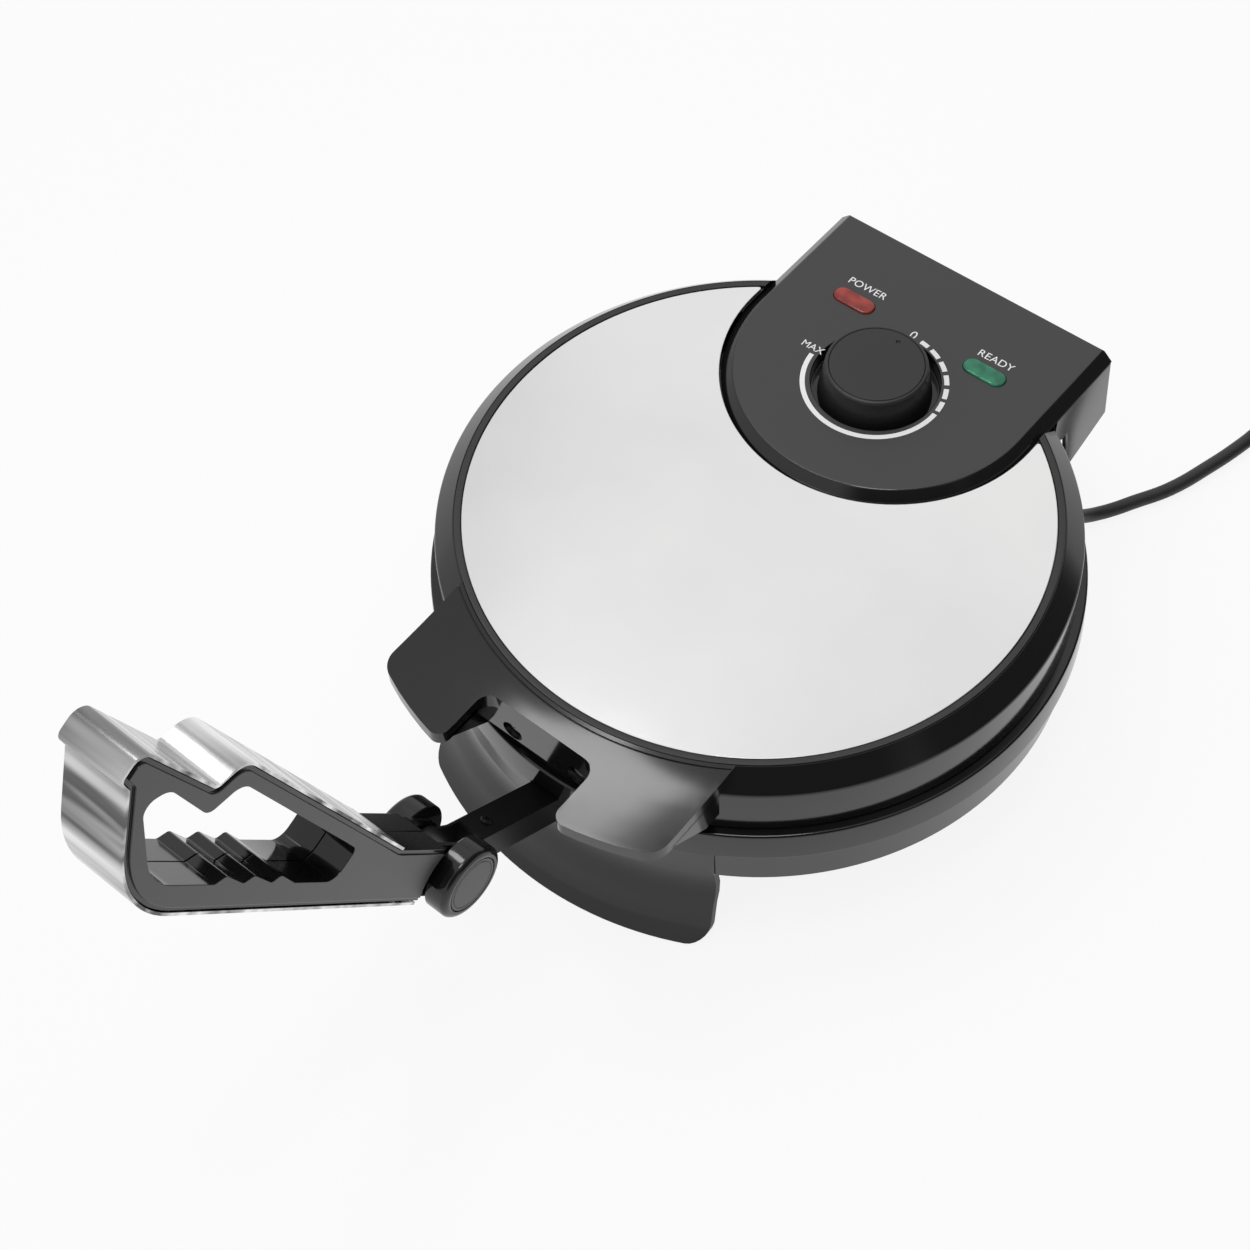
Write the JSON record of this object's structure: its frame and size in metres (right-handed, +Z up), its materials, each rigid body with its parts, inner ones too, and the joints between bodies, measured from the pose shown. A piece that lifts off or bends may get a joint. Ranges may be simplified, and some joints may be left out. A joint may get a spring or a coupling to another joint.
{
  "type": "electric roti maker",
  "caption": "Round electric flatbread cooker: a heated base plate, a hinged heated lid with a thermostat knob, and a folding lever that presses the lid down.",
  "frame": {"origin": "On the table surface, under the middle of the footprint of everything but the mains lead", "axes": "+X to the right of someone facing the lever, +Y from the lever at the front to the hinge at the rear, +Z up"},
  "size_m": [0.3761, 0.6668, 0.3222],
  "materials": {
    "satin_steel": "fine satin stainless sheet",
    "polished_steel": "polished stainless strip",
    "gloss_black_plastic": "glossy moulded black",
    "satin_black_plastic": "satin moulded black",
    "matte_black_plastic": "fine matte moulded black",
    "black_painted_steel": "satin black paint on pressed steel",
    "zinc_steel": "zinc plated",
    "nonstick_plate": "cast aluminium with a dark non-stick coat",
    "reflector_sheet": "mill finish sheet",
    "red_plastic": "glossy translucent red",
    "green_plastic": "glossy translucent green",
    "lamp_glass": "small clear indicator lamp",
    "pale_plastic": "pale moulded insulator",
    "black_rubber": "soft black moulded rubber",
    "cord_sheath": "smooth black flexible sheath",
    "brass_pins": "machined brass"
  },
  "bodies": {
    "base": {"base_shell": "gloss_black_plastic", "front_skirt": "gloss_black_plastic", "underside_cover": "matte_black_plastic", "hinge_bracket": "zinc_steel", "hinge_pin": "zinc_steel", "lower_plate": "nonstick_plate", "lower_element": "zinc_steel", "lower_shield": "reflector_sheet", "terminal_block": "pale_plastic", "arm_bolt": "zinc_steel", "foot_rear_right": "black_rubber", "foot_rear_left": "black_rubber", "foot_front_right": "black_rubber", "foot_front_left": "black_rubber", "arm": "black_painted_steel", "arm_screw": "zinc_steel", "arm_insert": "matte_black_plastic", "pivot_pin": "zinc_steel", "pivot_cap_left": "gloss_black_plastic", "pivot_cap_right": "gloss_black_plastic", "cap_inlay_left": "matte_black_plastic", "cap_inlay_right": "matte_black_plastic", "cord_gland": "black_rubber", "cord_run": "cord_sheath", "cord_coil": "cord_sheath", "cord_tail": "cord_sheath", "plug_body": "matte_black_plastic", "plug_pin_live": "brass_pins", "plug_pin_neutral": "brass_pins", "plug_pin_earth": "brass_pins"},
    "lid": {"steel_cover": "satin_steel", "trim_ring": "satin_black_plastic", "lid_shell": "gloss_black_plastic", "control_panel": "satin_black_plastic", "rear_housing": "gloss_black_plastic", "upper_plate": "nonstick_plate", "upper_element": "zinc_steel", "upper_shield": "reflector_sheet", "thermostat": "zinc_steel", "red_lens": "red_plastic", "green_lens": "green_plastic", "red_lamp": "lamp_glass", "green_lamp": "lamp_glass", "lid_screw_left": "zinc_steel", "lid_screw_right": "zinc_steel"},
    "knob_turning": {"knob": "matte_black_plastic", "thermostat_shaft": "zinc_steel"},
    "handle": {"handle_half_left": "matte_black_plastic", "handle_half_right": "matte_black_plastic", "handle_wrap": "polished_steel", "handle_screw_1": "zinc_steel", "handle_screw_2": "zinc_steel", "handle_screw_3": "zinc_steel"}
  },
  "joints": [
    {"name": "lid_hinge", "type": "hinge", "parent": "base", "child": "lid", "pos_m": [0, 0.23588, 0.07], "axis": [-1, 0, 0], "range_deg": [0, 88]},
    {"name": "knob_turn", "type": "hinge", "parent": "lid", "child": "knob_turning", "pos_m": [0, 0.17148, 0.11], "axis": [0, 0, -1], "range_deg": [0, 268]},
    {"name": "handle_pivot", "type": "hinge", "parent": "base", "child": "handle", "pos_m": [0, -0.12882, 0.0962], "axis": [1, 0, 0], "range_deg": [-101, 50]}
  ]
}
